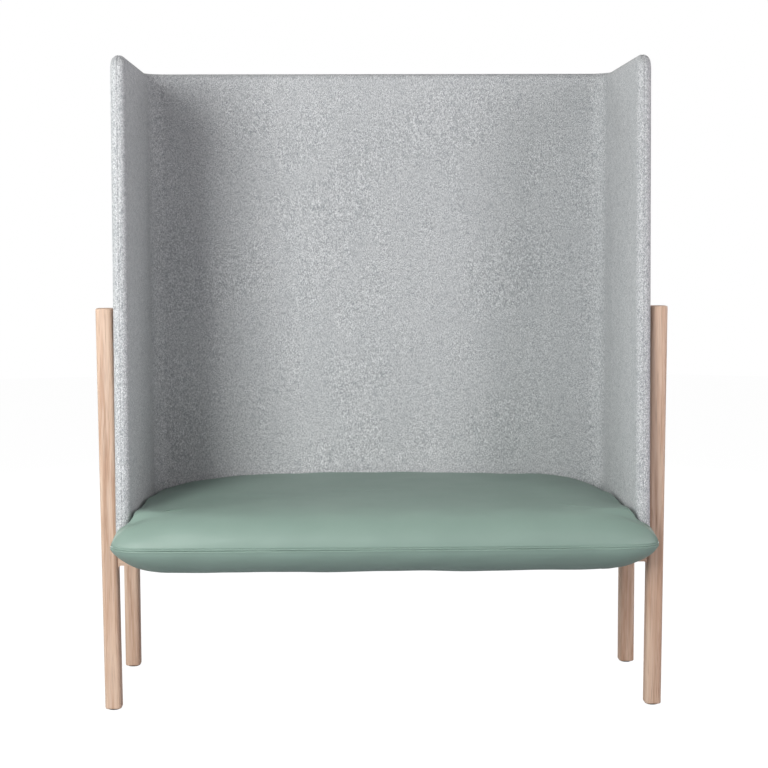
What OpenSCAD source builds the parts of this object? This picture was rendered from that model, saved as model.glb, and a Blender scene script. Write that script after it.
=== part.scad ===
// Acoustic high back lounge chair, two seats wide.
// A U-shaped felt-covered shell stands between four timber posts, on the rails that carry the seat.
// Millimetres. +Z is up, the sitter faces -Y, and the origin is on the floor under the middle.
// Left is -X, as the chair is seen from the front.

/* [Shell] */
// Width over the outer felt
shell_w = 1168; // [1000:2:1400]
// Depth from the foot of the wings' front edges to the outer felt of the back
shell_depth = 539; // [480:1:620]
// Height of the top edge above the floor
shell_top = 1438; // [1200:2:1600]
// Thickness of the padded wall
wall_t = 32; // [28:1:38]
// Inner radius of the two upright corners, at the felt
corner_r = 24; // [16:1:60]
// Radius of each wing's top front corner, seen from the side
wing_corner_r = 36; // [24:1:80]
// Angle by which the wings' front edges lean back
wing_rake = 2.3; // [0.5:0.1:6]
// Thickness of the felt
felt_t = 3; // [2:0.5:4]
// Thickness of the moulded plywood core
core_t = 10; // [8:1:12]

/* [Posts] */
// Width of a post, across the chair
post_w = 36; // [34:1:50]
// Depth of a post, front to back
post_d = 40; // [36:1:56]
// Height of a post's top above the floor
post_h = 892; // [860:2:1000]
// Rounding of a post's long edges
post_round = 9; // [3:0.5:14]
// Rounding of a post's ends
post_end_round = 3; // [1:0.5:5]
// Distance from the rear posts' front faces to the outer felt of the back
rear_post_in = 111; // [100:1:140]
// How far the front posts stand behind the foot of the wings' front edges
post_setback = 46; // [30:1:70]
// Gap between the shell and a front post, at the top of the rails
front_post_gap = 1.5; // [1:0.1:6]
// How much farther out a front post's top stands than its foot
front_post_splay = 6; // [0:0.5:16]
// Gap between the shell and a rear post
rear_post_gap = 3; // [1:0.1:8]

/* [Rails] */
// Height of the rails' underside above the floor
rail_z = 325; // [280:1:350]
// Height of a rail's section
rail_h = 38; // [36:1:56]
// Thickness of a rail
rail_t = 30; // [26:1:32]
// Radius of the fillet where a rail's underside runs into a post
rail_fillet = 7; // [2:0.5:16]
// Thickness of the plywood seat board
board_t = 15; // [12:1:20]

/* [Seat] */
// How far the seat's nose stands ahead of the foot of the wings' front edges
nose_out = 84; // [70:1:120]
// How far the nose stands out beyond the shell at each side
nose_over = 6; // [2:0.5:14]
// Width of the nose's rounded corners in plan
nose_corner_w = 52; // [40:1:90]
// Depth of the nose's rounded corners in plan
nose_corner_d = 45; // [24:1:48]
// Bow of the nose's front edge
nose_bow = 6; // [1:0.5:12]
// Radius of the seat's rear corners in plan
seat_corner_r = 40; // [34:1:80]
// Rise of the crown above the seam, at the edge of the sitting area
crown_rise = 77; // [50:1:110]
// Further rise of the crown towards the middle
crown_dome = 4; // [1:0.5:20]
// How far the crown's rounding reaches in from the nose
crown_nose_in = 74; // [50:1:120]
// How far the crown's rounding reaches in from a side, at the nose
crown_side_in = 34; // [24:1:60]
// How far the crown's rounding reaches in from a side, at the back
crown_rear_side_in = 60; // [30:1:90]
// How far the crown's rounding reaches in from the back
crown_back_in = 58; // [30:1:90]
// Drop from the seam to the underside of the front lip
lip_drop = 64; // [40:1:80]
// How far the underside's rounding reaches in from the nose
lip_nose_in = 100; // [50:1:110]
// How far the underside's rounding reaches in from the sides and the back
lip_side_in = 28; // [15:1:50]
// Thickness of the leather
leather_t = 1.5; // [1:0.1:2]

/* [Fixings] */
// Thread diameter of the shell's bolts
shell_bolt_d = 8; // [6:1:10]
// Height of the lower shell bolts above the floor
shell_bolt_low_z = 480; // [440:5:600]
// Height of the upper shell bolts above the floor
shell_bolt_high_z = 810; // [700:5:830]
// Thread diameter of the frame's bolts
frame_bolt_d = 6; // [5:1:7]
// Diameter of the frame's dowels
dowel_d = 8; // [6:1:9]
// Diameter of a foot glide
glide_d = 26; // [16:1:28]
// Height of a foot glide below the post
glide_t = 3; // [2:0.5:8]

/* [Hidden] */
$fn = 48;

// Colours
timber = "#b9a48a";
felt = "#c2c3c2";
leather = "#879c93";
foam = "#e9dfc0";
plywood = "#c8a777";
steel = "#9b9ea1";
black = "#2b2b2d";

// Clearances, and one overrun for every cut
seat_gap = 0.5;
soft_gap = 0.3;
bore_gap = 0.1;
overrun = 1;

// Plan places, with the whole depth centred on the origin
depth = nose_out + shell_depth;
nose_y = -depth / 2;
back_y = depth / 2;
wing_y = nose_y + nose_out;
front_post_y = wing_y + post_setback;
rear_post_y = back_y - rear_post_in;
post_pitch = rear_post_y - front_post_y;
nose_w = shell_w + 2 * nose_over;

// Heights
rail_top = rail_z + rail_h;
rail_mid = rail_z + rail_h / 2;
shell_z = rail_top + soft_gap;
core_z = shell_z + felt_t + soft_gap;
under_z = rail_top + soft_gap;
board_z = under_z + leather_t + soft_gap;
seam_z = board_z + board_t;

// The middle surface of the shell's wall
wall_mid = wall_t / 2;
mid_x = shell_w / 2 - wall_mid;
mid_y = back_y - wall_mid;
mid_r = corner_r + wall_mid;
corner_x = mid_x - mid_r;
straight_y = mid_y - mid_r;
// The rake to a cosine of six decimals, so that the wing's plate and strip share their planes
cosine_steps = 1000000;
rake = acos(round(cos(wing_rake) * cosine_steps) / cosine_steps);
wing_corner_z = shell_top - wing_corner_r;
wing_corner_y = front_y(wing_corner_z, wing_corner_r);
seam_gap = 0.4;

// Foam each side of the core, and where the back's foam meets the wings'
foam_body_t = wall_t - 2 * felt_t - 2 * soft_gap;
core_space_t = core_t + 2 * soft_gap;
foam_joint_in = 40;
foam_joint_y = straight_y - foam_joint_in;

// Side places of the posts, which the front ones change with height
front_post_slope = front_post_splay / post_h;

// Frame fixings
dowel_l = 36;
dowel_z_shares = [-0.26, 0.26];
locator_d = 6;
locator_l = 24;
locator_z_shares = [-0.31, 0.31];
plug_l = 5.5;
sink_play = 2;
frame_head_d = 10;
frame_head_l = 6;
barrel_nut_d = 10;
barrel_nut_l = 16;
barrel_nut_in = 32;
frame_bolt_tail = 8;
bearer_w = 30;
bearer_screw_d = 5;
bearer_screw_l = 66;
bearer_head_d = 10;
bearer_head_l = 4;
bearer_z_shares = [-0.22, 0.22];
glide_pin_d = 5;
glide_pin_l = 14;

// Shell fixings
shell_head_d = 13;
shell_head_l = 8;
sleeve_d = 16;
t_nut_barrel_d = 11;
t_nut_flange_d = 22;
t_nut_flange_t = 1.5;
t_nut_barrel_share = 0.85;
hex_share = 0.55;
hex_depth_share = 0.5;

// Seat fixings
seat_bolt_x_share = 0.65;
seat_head_d = 11;
seat_head_l = 5;
seat_head_sink = 7;
seat_barrel_d = 8.5;
seat_flange_d = 18;
seat_flange_t = 1.2;
seat_barrel_share = 0.8;
dust_t = 1;

// The seat's edge in plan
seat_half_w = shell_w / 2 - wall_t - seat_gap;
seat_back_y = back_y - wall_t - seat_gap;
nose_half_w = nose_w / 2;
nose_half_flat = nose_half_w - nose_corner_w;
nose_flank_y = nose_y + nose_bow + nose_corner_d;
notch_r = wall_mid + seat_gap;
notch_y = wing_y + wall_mid;
seat_corner_y = seat_back_y - seat_corner_r;
board_inset = 3;
board_nose_in = 50;
board_front_r = 20;
lip_back_in = 2;
lip_back_y = front_post_y - lip_back_in;
turn_under = 46;

// How full the rounded edges are: 2 is a quarter ellipse, and more is squarer
crown_nose_power = 1.5;
crown_side_power = 3;
lip_nose_power = 1.6;
lip_side_power = 2.5;
crown_notch_in = -5;
lip_notch_in = 12;
dome_share = 0.5;

// Points of an arc about [cx, cy] with semi-axes rx and ry, from angle a0 to angle a1
function arc(cx, cy, rx, ry, a0, a1, n) =
    [for (i = [0:n]) let (a = a0 + (a1 - a0) * i / n) [cx + rx * cos(a), cy + ry * sin(a)]];
function reversed(v) = [for (i = [len(v) - 1:-1:0]) v[i]];
function lerp(a, b, s) = a + (b - a) * s;

// Depth of the wings' front edge at height z, or of a line that lies e behind it
function front_y(z, e) = wing_y + (z - shell_z) * tan(rake) + e / cos(rake);

// Side and depth places of a post
function post_in_x(front, z) =
    shell_w / 2 + (front ? front_post_gap + (z - rail_top) * front_post_slope : rear_post_gap);
function post_out_x(front, z) = post_in_x(front, z) + post_w;
function post_y(front) = front ? front_post_y : rear_post_y;
function post_mid_y(front) = post_y(front) + post_d / 2;

// Side rails run between the posts, in the middle of the rear posts' width
side_rail_mid_x = post_in_x(false, rail_mid) + post_w / 2;
side_rail_y = front_post_y + post_d;
side_rail_l = post_pitch - post_d;
dowel_zs = [for (s = dowel_z_shares) rail_mid + s * rail_h];
locator_zs = [for (s = locator_z_shares) rail_mid + s * rail_h];
bearer_zs = [for (s = bearer_z_shares) rail_mid + s * rail_h];
shell_bolt_zs = [shell_bolt_low_z, shell_bolt_high_z];
seat_bolt_x = seat_half_w * seat_bolt_x_share;
frame_sink = frame_head_l + plug_l + seat_gap;
shell_sink = shell_head_l + plug_l + seat_gap;
frame_sink_d = frame_head_d + sink_play;
shell_sink_d = shell_head_d + sink_play;

// A closed skin through rings that run anticlockwise, seen from above, and have equal counts.
// The first and last rings close in fans about the two end points.
module capped_loft(rings, ends) {
    n = len(rings[0]);
    m = len(rings);
    sides = [for (k = [0:m - 2], i = [0:n - 1])
        let (a = k * n, b = (k + 1) * n, j = (i + 1) % n)
        each [[a + i, b + j, a + j], [a + i, b + i, b + j]]];
    first = [for (i = [0:n - 1]) [m * n, i, (i + 1) % n]];
    last = [for (i = [0:n - 1]) [m * n + 1, (m - 1) * n + (i + 1) % n, (m - 1) * n + i]];
    polyhedron(concat([for (r = rings) each r], ends), concat(sides, first, last), convexity = 6);
}

// Placing: the left side mirrors the right, and bolts point inwards, backwards or upwards
module both_sides() {
    children();
    mirror([1, 0, 0]) children();
}
module inward(x, y, z) translate([x, y, z]) rotate([0, -90, 0]) children();
module backward(x, y, z) translate([x, y, z]) rotate([-90, 0, 0]) children();
module at_posts() both_sides() for ($front = [true, false]) children();
module at_shell_bolts() at_posts() for ($z = shell_bolt_zs) children();
module at_seat_bolts() both_sides() for (front = [true, false])
    translate([seat_bolt_x, post_mid_y(front), 0]) children();

// A hole with a wider mouth, going up from the face at zero
module stepped_hole(bore_d, bore_l, sink_d, sink) {
    translate([0, 0, -overrun]) cylinder(d = sink_d, h = sink + overrun);
    cylinder(d = bore_d + 2 * bore_gap, h = bore_l + overrun);
}

// A socket-head bolt whose shank goes up from zero, with its head below
module socket_bolt(d, l, head_d, head_l) {
    difference() {
        translate([0, 0, -head_l]) cylinder(d = head_d, h = head_l);
        translate([0, 0, -head_l - overrun])
            cylinder(d = head_d * hex_share, h = head_l * hex_depth_share + overrun, $fn = 6);
    }
    cylinder(d = d, h = l);
}

// A T-nut whose barrel goes up from its flange, bored for a bolt
module t_nut(d, barrel_d, barrel_l, flange_d, flange_t) {
    difference() {
        union() {
            translate([0, 0, -flange_t]) cylinder(d = flange_d, h = flange_t);
            cylinder(d = barrel_d, h = barrel_l);
        }
        translate([0, 0, -flange_t - overrun])
            cylinder(d = d + 2 * bore_gap, h = flange_t + barrel_l + 2 * overrun);
    }
}

// Posts. The section is a rectangle with rounded corners, drawn in by d at the rounded ends.
function post_section(d) = let (r = post_round - d / 2, x1 = post_w - d, y1 = post_d - d) concat(
    arc(x1 - r, d + r, r, r, -90, 0, 5),
    arc(x1 - r, y1 - r, r, r, 0, 90, 5),
    arc(d + r, y1 - r, r, r, 90, 180, 5),
    arc(d + r, d + r, r, r, 180, 270, 5));
function post_ring(front, z, d) = [for (p = post_section(d))
    [p[0] + post_in_x(front, z), p[1] + post_y(front), z]];
post_end_angles = [0, 30, 60, 90];
module post_blank(front) {
    r = post_end_round;
    foot = [for (a = post_end_angles) post_ring(front, glide_t + r - r * cos(a), r - r * sin(a))];
    head = [for (a = reversed(post_end_angles))
        post_ring(front, post_h - r + r * cos(a), r - r * sin(a))];
    foot_x = post_in_x(front, glide_t) + post_w / 2;
    head_x = post_in_x(front, post_h) + post_w / 2;
    capped_loft(
        concat(foot, head),
        [[foot_x, post_mid_y(front), glide_t], [head_x, post_mid_y(front), post_h]]);
}
module glide_place(front)
    translate([post_in_x(front, 0) + post_w / 2, post_mid_y(front), 0]) children();
module post(front) {
    y = post_mid_y(front);
    dowel_y = front ? side_rail_y - dowel_l / 2 : side_rail_y + side_rail_l - overrun;
    color(timber) difference() {
        post_blank(front);
        for (z = shell_bolt_zs) inward(post_out_x(front, z), y, z)
            stepped_hole(shell_bolt_d, post_w, shell_sink_d, shell_sink);
        inward(post_out_x(front, rail_mid), y, rail_mid)
            stepped_hole(frame_bolt_d, post_w, frame_sink_d, frame_sink);
        for (z = locator_zs) inward(post_in_x(front, z) + locator_l / 2, y, z)
            cylinder(d = locator_d + 2 * bore_gap, h = locator_l);
        for (z = dowel_zs) backward(side_rail_mid_x, dowel_y, z)
            cylinder(d = dowel_d + 2 * bore_gap, h = dowel_l / 2 + overrun);
        glide_place(front) cylinder(d = glide_pin_d + 2 * bore_gap, h = glide_t + glide_pin_l);
    }
}
module front_left_post() mirror([1, 0, 0]) post(true);
module front_right_post() post(true);
module rear_left_post() mirror([1, 0, 0]) post(false);
module rear_right_post() post(false);
module post_glides() color(black) at_posts() glide_place($front) {
    cylinder(d = glide_d, h = glide_t);
    translate([0, 0, glide_t]) cylinder(d = glide_pin_d, h = glide_pin_l);
}

// Rails. The outline is symmetric, and its underside runs down into the posts in fillets.
function rail_end(low, top) =
    let (r = rail_fillet) concat(arc(low - r, rail_z - r, r, r, 90, 0, 5), [[top, rail_top]]);
function rail_outline(low, top) =
    concat(rail_end(low, top), [for (p = reversed(rail_end(low, top))) [-p[0], p[1]]]);
module side_rail() {
    half = side_rail_l / 2 - bore_gap;
    color(timber) difference() {
        translate([side_rail_mid_x, side_rail_y + side_rail_l / 2, 0]) rotate([90, 0, 90])
            linear_extrude(rail_t, center = true) polygon(rail_outline(half, half));
        for (z = dowel_zs, y = [side_rail_y, side_rail_y + side_rail_l])
            backward(side_rail_mid_x, y - dowel_l / 2, z)
                cylinder(d = dowel_d + 2 * bore_gap, h = dowel_l);
    }
}
module left_side_rail() mirror([1, 0, 0]) side_rail();
module right_side_rail() side_rail();
module side_rail_dowels() color(plywood) both_sides()
    for (z = dowel_zs, y = [side_rail_y, side_rail_y + side_rail_l])
        backward(side_rail_mid_x, y - dowel_l / 2 + bore_gap, z)
            cylinder(d = dowel_d, h = dowel_l - 2 * bore_gap);

function cross_rail_end(front, z) = post_in_x(front, z) - bore_gap;
module cross_rail(front) {
    y = post_mid_y(front);
    end_x = post_in_x(front, rail_mid);
    face_y = front ? y - rail_t / 2 : y + rail_t / 2;
    color(timber) difference() {
        translate([0, y, 0]) rotate([90, 0, 0]) linear_extrude(rail_t, center = true)
            polygon(rail_outline(cross_rail_end(front, rail_z), cross_rail_end(front, rail_top)));
        both_sides() {
            inward(end_x + overrun, y, rail_mid)
                cylinder(d = frame_bolt_d + 2 * bore_gap, h = barrel_nut_in + frame_bolt_tail + overrun);
            for (z = locator_zs) inward(end_x + overrun, y, z)
                cylinder(d = locator_d + 2 * bore_gap, h = locator_l / 2 + overrun);
            translate([end_x - barrel_nut_in, y, rail_z - overrun])
                cylinder(d = barrel_nut_d + 2 * bore_gap, h = rail_h / 2 + barrel_nut_l / 2 + overrun);
        }
        at_seat_bolts() translate([0, 0, rail_z])
            stepped_hole(frame_bolt_d, rail_h, seat_head_d + sink_play, seat_head_sink);
        for (z = bearer_zs) translate([0, face_y, z]) rotate([front ? -90 : 90, 0, 0])
            stepped_hole(bearer_screw_d, rail_t, bearer_head_d + 2 * bore_gap, bearer_head_l);
    }
}
module front_cross_rail() cross_rail(true);
module rear_cross_rail() cross_rail(false);
module cross_rail_dowels() color(plywood) at_posts() for (z = locator_zs)
    inward(post_in_x($front, z) + locator_l / 2 - bore_gap, post_mid_y($front), z)
        cylinder(d = locator_d, h = locator_l - 2 * bore_gap);
module cross_rail_bolts() color(steel) at_posts() {
    x = post_out_x($front, rail_mid) - frame_sink;
    inward(x, post_mid_y($front), rail_mid) socket_bolt(
        frame_bolt_d, x - post_in_x($front, rail_mid) + barrel_nut_in + frame_bolt_tail - seat_gap,
        frame_head_d, frame_head_l);
}
module barrel_nuts() color(steel) at_posts()
    translate([post_in_x($front, rail_mid) - barrel_nut_in, post_mid_y($front), rail_mid])
        difference() {
            cylinder(d = barrel_nut_d, h = barrel_nut_l - 2 * bore_gap, center = true);
            rotate([0, 90, 0])
                cylinder(d = frame_bolt_d + 2 * bore_gap, h = barrel_nut_d + 2 * overrun, center = true);
        }
bearer_y = post_mid_y(true) + rail_t / 2;
bearer_l = post_pitch - rail_t;
module at_bearer_screws() for ($front = [true, false], $z = bearer_zs)
    translate([0, post_mid_y($front) + rail_t / 2 * ($front ? -1 : 1), $z])
        rotate([$front ? -90 : 90, 0, 0]) children();
module centre_bearer() color(timber) difference() {
    translate([-bearer_w / 2, bearer_y, rail_z]) cube([bearer_w, bearer_l, rail_h]);
    at_bearer_screws() cylinder(d = bearer_screw_d + 2 * bore_gap, h = bearer_screw_l);
}
module bearer_screws() color(steel) at_bearer_screws() {
    cylinder(d = bearer_head_d, h = bearer_head_l);
    translate([0, 0, bearer_head_l])
        cylinder(d = bearer_screw_d, h = bearer_screw_l - bearer_head_l - bore_gap);
}

// The shell's wall, as plates of thickness t whose edges lie e inside the wall's outer edge.
// A round rim of thickness t may run along the top and front edges.
module half_disc(r) intersection() {
    circle(r);
    translate([-r, -r]) square([2 * r, r]);
}
module wall_profile(t, e, z0, rim) {
    translate([-t / 2, z0]) square([t, shell_top - e - z0]);
    if (rim) translate([0, shell_top - e]) rotate(180) half_disc(t / 2);
}
module wing_wall(t, e, z0, rim) {
    r = wing_corner_r - e;
    flat_l = straight_y - wing_corner_y;
    translate([mid_x - t / 2, wing_corner_y, z0]) cube([t, flat_l, shell_top - e - z0]);
    difference() {
        translate([mid_x, wing_corner_y, wing_corner_z]) rotate([-rake, 0, 0]) {
            translate([0, 0, -shell_top]) linear_extrude(shell_top) {
                translate([-t / 2, -r]) square([t, r + flat_l]);
                if (rim) translate([0, -r]) half_disc(t / 2);
            }
            rotate([90, 0, 90]) rotate(90) rotate_extrude(angle = 90) {
                translate([0, -t / 2]) square([r, t]);
                if (rim) translate([r, 0]) rotate(90) half_disc(t / 2);
            }
        }
        translate([0, nose_y, z0 - shell_top]) cube([shell_w, depth, shell_top]);
        translate([0, wing_corner_y, 0]) cube([shell_w, depth, shell_top]);
    }
    if (rim) translate([mid_x, wing_corner_y, shell_top - e]) rotate([-90, 0, 0])
        linear_extrude(flat_l) half_disc(t / 2);
    translate([corner_x, straight_y, 0]) rotate_extrude(angle = 90)
        translate([mid_r, 0]) wall_profile(t, e, z0, rim);
}
module wall(t, e, z0, rim) {
    both_sides() wing_wall(t, e, z0, rim);
    translate([-corner_x, mid_y, 0]) rotate([90, 0, 90])
        linear_extrude(2 * corner_x) wall_profile(t, e, z0, rim);
}

// The space that the shell's middle surface encloses, drawn in by d
module quarter_disc(r) intersection() {
    circle(r);
    square(r);
}
module inside_middle(d) linear_extrude(shell_top + overrun) {
    translate([-mid_x + d, nose_y]) square([2 * (mid_x - d), straight_y - nose_y]);
    translate([-corner_x, straight_y]) square([2 * corner_x, mid_r - d]);
    both_sides() translate([corner_x, straight_y]) quarter_disc(mid_r - d);
}
module felt_skin() difference() {
    wall(wall_t, wall_mid, shell_z, true);
    wall(wall_t - 2 * felt_t, wall_mid, shell_z + felt_t, true);
}
module sleeve_holes(d) at_shell_bolts() inward(shell_w / 2 + overrun, post_mid_y($front), $z)
    cylinder(d = d, h = wall_mid + overrun);
module inner_felt_cover() color(felt) intersection() {
    felt_skin();
    inside_middle(seam_gap / 2);
}
module outer_felt_cover() color(felt) difference() {
    felt_skin();
    inside_middle(-seam_gap / 2);
    sleeve_holes(sleeve_d + 2 * soft_gap);
}

// Foam wraps the core, with room for the sleeves and for the flanges of the T-nuts
module shell_foam() difference() {
    wall(foam_body_t, wall_mid, core_z, true);
    wall(core_space_t, wall_mid, core_z - overrun, false);
    sleeve_holes(sleeve_d + 2 * soft_gap);
    at_shell_bolts() inward(mid_x, post_mid_y($front), $z)
        cylinder(d = t_nut_flange_d + 2 * soft_gap, h = core_t / 2 + t_nut_flange_t + soft_gap);
}
module foam_half(x0, y0) translate([x0, y0, 0]) cube([shell_w, shell_depth, shell_top]);
module back_foam() color(foam) intersection() {
    shell_foam();
    foam_half(-shell_w / 2, foam_joint_y + soft_gap);
}
module right_wing_foam() color(foam) intersection() {
    shell_foam();
    foam_half(0, foam_joint_y - shell_depth);
}
module left_wing_foam() color(foam) mirror([1, 0, 0]) intersection() {
    shell_foam();
    foam_half(0, foam_joint_y - shell_depth);
}
module shell_core() color(plywood) difference() {
    wall(core_t, wall_mid + soft_gap, core_z, false);
    at_shell_bolts() {
        inward(mid_x + wall_mid, post_mid_y($front), $z)
            cylinder(d = shell_bolt_d + 2 * bore_gap, h = wall_t);
        inward(mid_x - core_t / 2 + core_t * t_nut_barrel_share + bore_gap, post_mid_y($front), $z)
            cylinder(d = t_nut_barrel_d + 2 * bore_gap, h = core_t);
    }
}

// Shell fixings
module shell_bolts() color(steel) at_shell_bolts() {
    x = post_out_x($front, $z) - shell_sink;
    inward(x, post_mid_y($front), $z)
        socket_bolt(shell_bolt_d, x - mid_x + core_t / 2, shell_head_d, shell_head_l);
}
module shell_sleeves() color(steel) at_shell_bolts() {
    x = post_in_x($front, $z) - bore_gap;
    inward(x, post_mid_y($front), $z) difference() {
        cylinder(d = sleeve_d, h = x - mid_x - core_t / 2);
        translate([0, 0, -overrun]) cylinder(d = shell_bolt_d + 2 * bore_gap, h = wall_t);
    }
}
module shell_t_nuts() color(steel) at_shell_bolts()
    translate([mid_x - core_t / 2, post_mid_y($front), $z]) rotate([0, 90, 0]) t_nut(
        shell_bolt_d, t_nut_barrel_d, core_t * t_nut_barrel_share, t_nut_flange_d, t_nut_flange_t);
module bolt_plugs() color(timber) {
    at_shell_bolts() inward(post_out_x($front, $z), post_mid_y($front), $z)
        cylinder(d = shell_sink_d - 2 * bore_gap, h = plug_l);
    at_posts() inward(post_out_x($front, rail_mid), post_mid_y($front), rail_mid)
        cylinder(d = frame_sink_d - 2 * bore_gap, h = plug_l);
}

// The seat's edge in plan, from the middle of the nose round the right side to the middle of the back
bow_shares = [0, 0.27, 0.52, 0.76];
flare_angles = [30, 60, 90];
notch_angle = 240;
side_shares = [0.06, 0.2, 0.45, 0.72];
back_shares = [0.6, 0.3, 0];
right_edge = concat(
    [for (s = bow_shares) [nose_half_flat * s, nose_y + nose_bow * s * s]],
    arc(nose_half_flat, nose_flank_y, nose_corner_w, nose_corner_d, -90, 0, 5),
    [for (a = flare_angles)
        [lerp(mid_x, nose_half_w, cos(a)), lerp(nose_flank_y, notch_y - notch_r, sin(a))]],
    arc(mid_x, notch_y, notch_r, notch_r, notch_angle, 180, 2),
    [for (s = side_shares) [seat_half_w, lerp(notch_y, seat_corner_y, s)]],
    arc(seat_half_w - seat_corner_r, seat_corner_y, seat_corner_r, seat_corner_r, 0, 90, 4),
    [for (s = back_shares) [(seat_half_w - seat_corner_r) * s, seat_back_y]]);
left_edge = [for (i = [len(right_edge) - 2:-1:1]) [-right_edge[i][0], right_edge[i][1]]];
seat_edge = concat(right_edge, left_edge);
edge_n = len(seat_edge);

// The same edge moved inwards by d, square to itself
function inset_edge(d) = [for (i = [0:edge_n - 1])
    let (t = seat_edge[(i + 1) % edge_n] - seat_edge[(i + edge_n - 1) % edge_n])
    seat_edge[i] + d * [-t[1], t[0]] / norm(t)];

// The outline where a rounded edge ends, which runs straight past the notches at the wings
function core_edge(nose_in, notch_in, side_in, rear_side_in, back_in) = [for (p = seat_edge)
    let (s = (p[1] - notch_y) / (seat_back_y - notch_y), f = (p[1] - nose_y) / (notch_y - nose_y))
    let (w = seat_half_w - lerp(side_in, rear_side_in, max(s, 0)))
    [p[1] > nose_flank_y ? sign(p[0]) * min(abs(p[0]) * w / seat_half_w, w) : p[0] * w / nose_half_w,
        s > 0 ? lerp(notch_y + notch_in, seat_back_y - back_in, s)
            : lerp(nose_y + nose_in, notch_y + notch_in, f)]];
crown_edge = core_edge(crown_nose_in, crown_notch_in, crown_side_in, crown_rear_side_in, crown_back_in);
lip_edge = core_edge(lip_nose_in, lip_notch_in, lip_side_in, lip_side_in, lip_side_in);

// Rings of a rounded edge, from the seam at angle 0 to the flat at angle 90.
// Its fullness changes along the flare between the nose and the wings.
function side_share(y) = max(0, min(1, (y - nose_flank_y) / (notch_y - nose_flank_y)));
function rounded_rings(edge, off, rise, nose_power, side_power, angles) = [for (a = angles)
    let (outer = inset_edge(off))
    [for (i = [0:edge_n - 1])
        let (k = 2 / lerp(nose_power, side_power, side_share(seat_edge[i][1])))
        let (q = lerp(outer[i], edge[i], 1 - pow(cos(a), k)))
        [q[0], q[1], seam_z + rise * pow(sin(a), k)]]];
crown_angles = [0, 7, 17, 30, 48, 68, 90];
lip_angles = [0, 14, 32, 58, 90];

// The crown, off below its outer surface, with a low dome inside the rounded edge
function crown_rings(off) = rounded_rings(
        crown_edge, off, crown_rise - off, crown_nose_power, crown_side_power, crown_angles);
crown_mid = [0, (nose_y + crown_nose_in + seat_back_y - crown_back_in) / 2];
function dome_ring(off) = [for (p = crown_edge) let (q = lerp(p, crown_mid, dome_share))
    [q[0], q[1], seam_z + crown_rise - off + crown_dome * (1 - dome_share * dome_share)]];
function crown_top(off) = [crown_mid[0], crown_mid[1], seam_z + crown_rise + crown_dome - off];
function crown_skin(off) = concat(crown_rings(off), [dome_ring(off)]);
module seat_top_cover() color(leather) capped_loft(
    concat(reversed(crown_skin(leather_t)), crown_skin(0)), [crown_top(leather_t), crown_top(0)]);
foam_off = leather_t + soft_gap;
module seat_foam() color(foam)
    capped_loft(crown_skin(foam_off), [[0, notch_y, seam_z], crown_top(foam_off)]);

// The underside, off inside its outer surface. Behind the lip it is cut away to the level of the rails.
module under_body(off, over) {
    rings = rounded_rings(
        lip_edge, off, off - lip_drop, lip_nose_power, lip_side_power, reversed(lip_angles));
    brim = [for (p = rings[len(rings) - 1]) p + [0, 0, over]];
    difference() {
        capped_loft(
            concat(rings, over > 0 ? [brim] : []),
            [[0, crown_mid[1], seam_z - lip_drop + off], [0, notch_y, seam_z + over]]);
        translate([-nose_w / 2, lip_back_y - off, 0]) cube([nose_w, depth, under_z + off]);
    }
}
module seat_bolt_holes() at_seat_bolts() cylinder(d = frame_bolt_d + 2 * bore_gap, h = seam_z + overrun);
under_half_w = seat_half_w - turn_under;
under_front_y = lip_back_y + turn_under;
under_l = seat_back_y - turn_under - under_front_y;
module seat_bottom_cover() color(leather) difference() {
    under_body(0, 0);
    under_body(leather_t, overrun);
    translate([-under_half_w, under_front_y, under_z - overrun])
        cube([2 * under_half_w, under_l, leather_t + 2 * overrun]);
    seat_bolt_holes();
}
module seat_dust_cover() color(black) difference() {
    translate([soft_gap - under_half_w, under_front_y + soft_gap, under_z])
        cube([2 * (under_half_w - soft_gap), under_l - 2 * soft_gap, dust_t]);
    seat_bolt_holes();
}

// The board under the crown. The lip's foam wraps its front edge and hangs ahead of the front rail.
board_half_w = seat_half_w - board_inset;
board_y = nose_y + board_nose_in;
board_right = concat(
    arc(board_half_w - board_front_r, board_y + board_front_r, board_front_r, board_front_r, -90, 0, 5),
    arc(
        board_half_w - seat_corner_r, seat_corner_y - board_inset, seat_corner_r, seat_corner_r, 0, 90, 6));
module seat_board() color(plywood) difference() {
    translate([0, 0, board_z]) linear_extrude(board_t)
        polygon(concat(board_right, [for (p = reversed(board_right)) [-p[0], p[1]]]));
    at_seat_bolts() translate([0, 0, seam_z]) rotate([180, 0, 0]) {
        stepped_hole(frame_bolt_d, board_t, seat_flange_d + 2 * bore_gap, seat_flange_t + bore_gap);
        cylinder(d = seat_barrel_d + 2 * bore_gap, h = board_t * seat_barrel_share + bore_gap);
    }
}
module seat_lip_foam() color(foam) difference() {
    under_body(foam_off, 0);
    translate([-board_half_w - soft_gap, board_y - soft_gap, board_z - soft_gap])
        cube([2 * (board_half_w + soft_gap), depth, board_t + 2 * overrun]);
    translate([-nose_w / 2, notch_y - notch_r, board_z - soft_gap])
        cube([nose_w, depth, board_t + 2 * overrun]);
}
module seat_bolts() color(steel) at_seat_bolts() translate([0, 0, rail_z + seat_head_sink])
    socket_bolt(
        frame_bolt_d, seam_z - rail_z - seat_head_sink - seat_flange_t - bore_gap,
        seat_head_d, seat_head_l);
module seat_t_nuts() color(steel) at_seat_bolts() translate([0, 0, seam_z - seat_flange_t - bore_gap])
    rotate([180, 0, 0]) t_nut(
        frame_bolt_d, seat_barrel_d, board_t * seat_barrel_share - seat_flange_t,
        seat_flange_d, seat_flange_t);

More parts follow.
